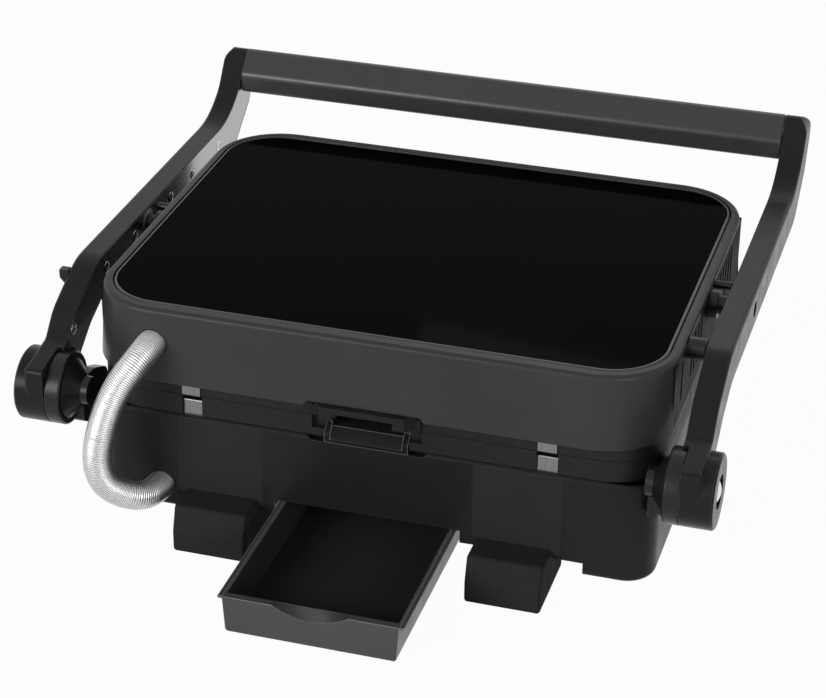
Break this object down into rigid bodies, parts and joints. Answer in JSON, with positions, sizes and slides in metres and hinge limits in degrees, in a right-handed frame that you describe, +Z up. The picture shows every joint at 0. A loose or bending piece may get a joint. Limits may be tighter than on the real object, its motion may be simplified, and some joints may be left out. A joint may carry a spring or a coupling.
{
  "type": "electric fish roaster",
  "caption": "Contact roaster with ribbed cooking plates between a hinged glass-topped lid and a base; two S-shaped arms, grip bar, ribbed metal conduit and pull-out drip tray.",
  "frame": {"origin": "middle of the footprint's bounding box, on the table under the feet", "axes": "+Z up, +Y from the hinge side with the drip tray to the grip bar, +X towards the hub with the release button"},
  "size_m": [0.4148, 0.4296, 0.1845],
  "materials": {
    "moulded_black": "satin, finely grained",
    "lid_grey": "satin",
    "glass_black": "polished, opaque black",
    "trim_dark": "polished edge bead",
    "plate_coat": "cast, with a black non-stick coating",
    "element_steel": "heat-darkened sheath",
    "sheet_steel": "plain sheet",
    "bright_steel": "bright spring steel",
    "button_chrome": "polished",
    "conduit_metal": "bright, finely ribbed",
    "pad_rubber": "matt",
    "lens_red": "translucent",
    "ceramic_white": "unglazed",
    "bush_nylon": "bare nylon"
  },
  "bodies": {
    "base": {"base_housing": "moulded_black", "rear_foot_left": "moulded_black", "rear_foot_right": "moulded_black", "front_foot_left": "moulded_black", "front_foot_right": "moulded_black", "foot_pads": "pad_rubber", "bottom_cover": "sheet_steel", "cover_screws": "bright_steel", "tray_tunnel": "moulded_black", "lower_plate": "plate_coat", "spout_trough": "plate_coat", "lower_element": "element_steel", "lower_reflector": "sheet_steel", "lower_clip_left": "bright_steel", "lower_clip_right": "bright_steel", "hinge_bracket_left": "moulded_black", "hinge_bracket_right": "moulded_black", "hinge_pin_left": "bright_steel", "hinge_pin_right": "bright_steel", "hinge_washers": "bush_nylon", "terminal_block": "ceramic_white", "thermostat": "moulded_black", "control_panel": "trim_dark", "pilot_lamps": "lens_red", "cord_gland": "pad_rubber", "conduit": "conduit_metal", "conduit_nut_base": "bright_steel"},
    "arms": {"arm_shell_left": "moulded_black", "arm_shell_right": "moulded_black", "arm_inner_plate_left": "bright_steel", "arm_inner_plate_right": "bright_steel", "arm_screws": "bright_steel", "pivot_bush_left": "bush_nylon", "pivot_bush_right": "bush_nylon", "grip_sleeve": "moulded_black", "grip_core": "sheet_steel"},
    "lid": {"lid_shell": "lid_grey", "lid_side_left": "moulded_black", "lid_side_right": "moulded_black", "lid_glass": "glass_black", "lid_trim": "trim_dark", "upper_plate": "plate_coat", "spout_hood": "plate_coat", "upper_element": "element_steel", "upper_reflector": "sheet_steel", "upper_clip_left": "bright_steel", "upper_clip_right": "bright_steel", "lid_pivot_left": "moulded_black", "lid_pivot_right": "moulded_black", "pivot_nuts": "bright_steel", "stop_studs": "moulded_black", "conduit_nut_lid": "bright_steel"},
    "tray": {"drip_tray": "moulded_black"},
    "dial": {"temperature_dial": "moulded_black"},
    "button": {"release_button": "button_chrome"},
    "catch": {"lock_tab": "moulded_black"}
  },
  "joints": [
    {"name": "lid_hinge", "type": "hinge", "parent": "base", "child": "arms", "pos_m": [0, -0.12025, 0.0921], "axis": [1, 0, 0], "range_deg": [0, 105], "deforming": ["conduit"]},
    {"name": "lid_float", "type": "hinge", "parent": "arms", "child": "lid", "pos_m": [0, 0.0175, 0.1365], "axis": [1, 0, 0], "range_deg": [0, 4.5]},
    {"name": "tray_slide", "type": "slide", "parent": "base", "child": "tray", "axis": [0, -1, 0], "range_m": [-0.095, 0.038]},
    {"name": "dial_turn", "type": "hinge", "parent": "base", "child": "dial", "pos_m": [0, 0.155, 0.05], "axis": [0, 1, 0], "range_deg": [0, 240]},
    {"name": "button_press", "type": "slide", "parent": "arms", "child": "button", "axis": [-1, 0, 0], "range_m": [0, 0.004], "stiffness_N_per_m": 400, "springref_m": -0.002},
    {"name": "catch_slide", "type": "slide", "parent": "arms", "child": "catch", "axis": [0, 1, 0], "range_m": [0, 0.006]}
  ],
  "couplings": [
    {"joint": "lid_float", "follows": "lid_hinge", "ratio": 0.04}
  ]
}
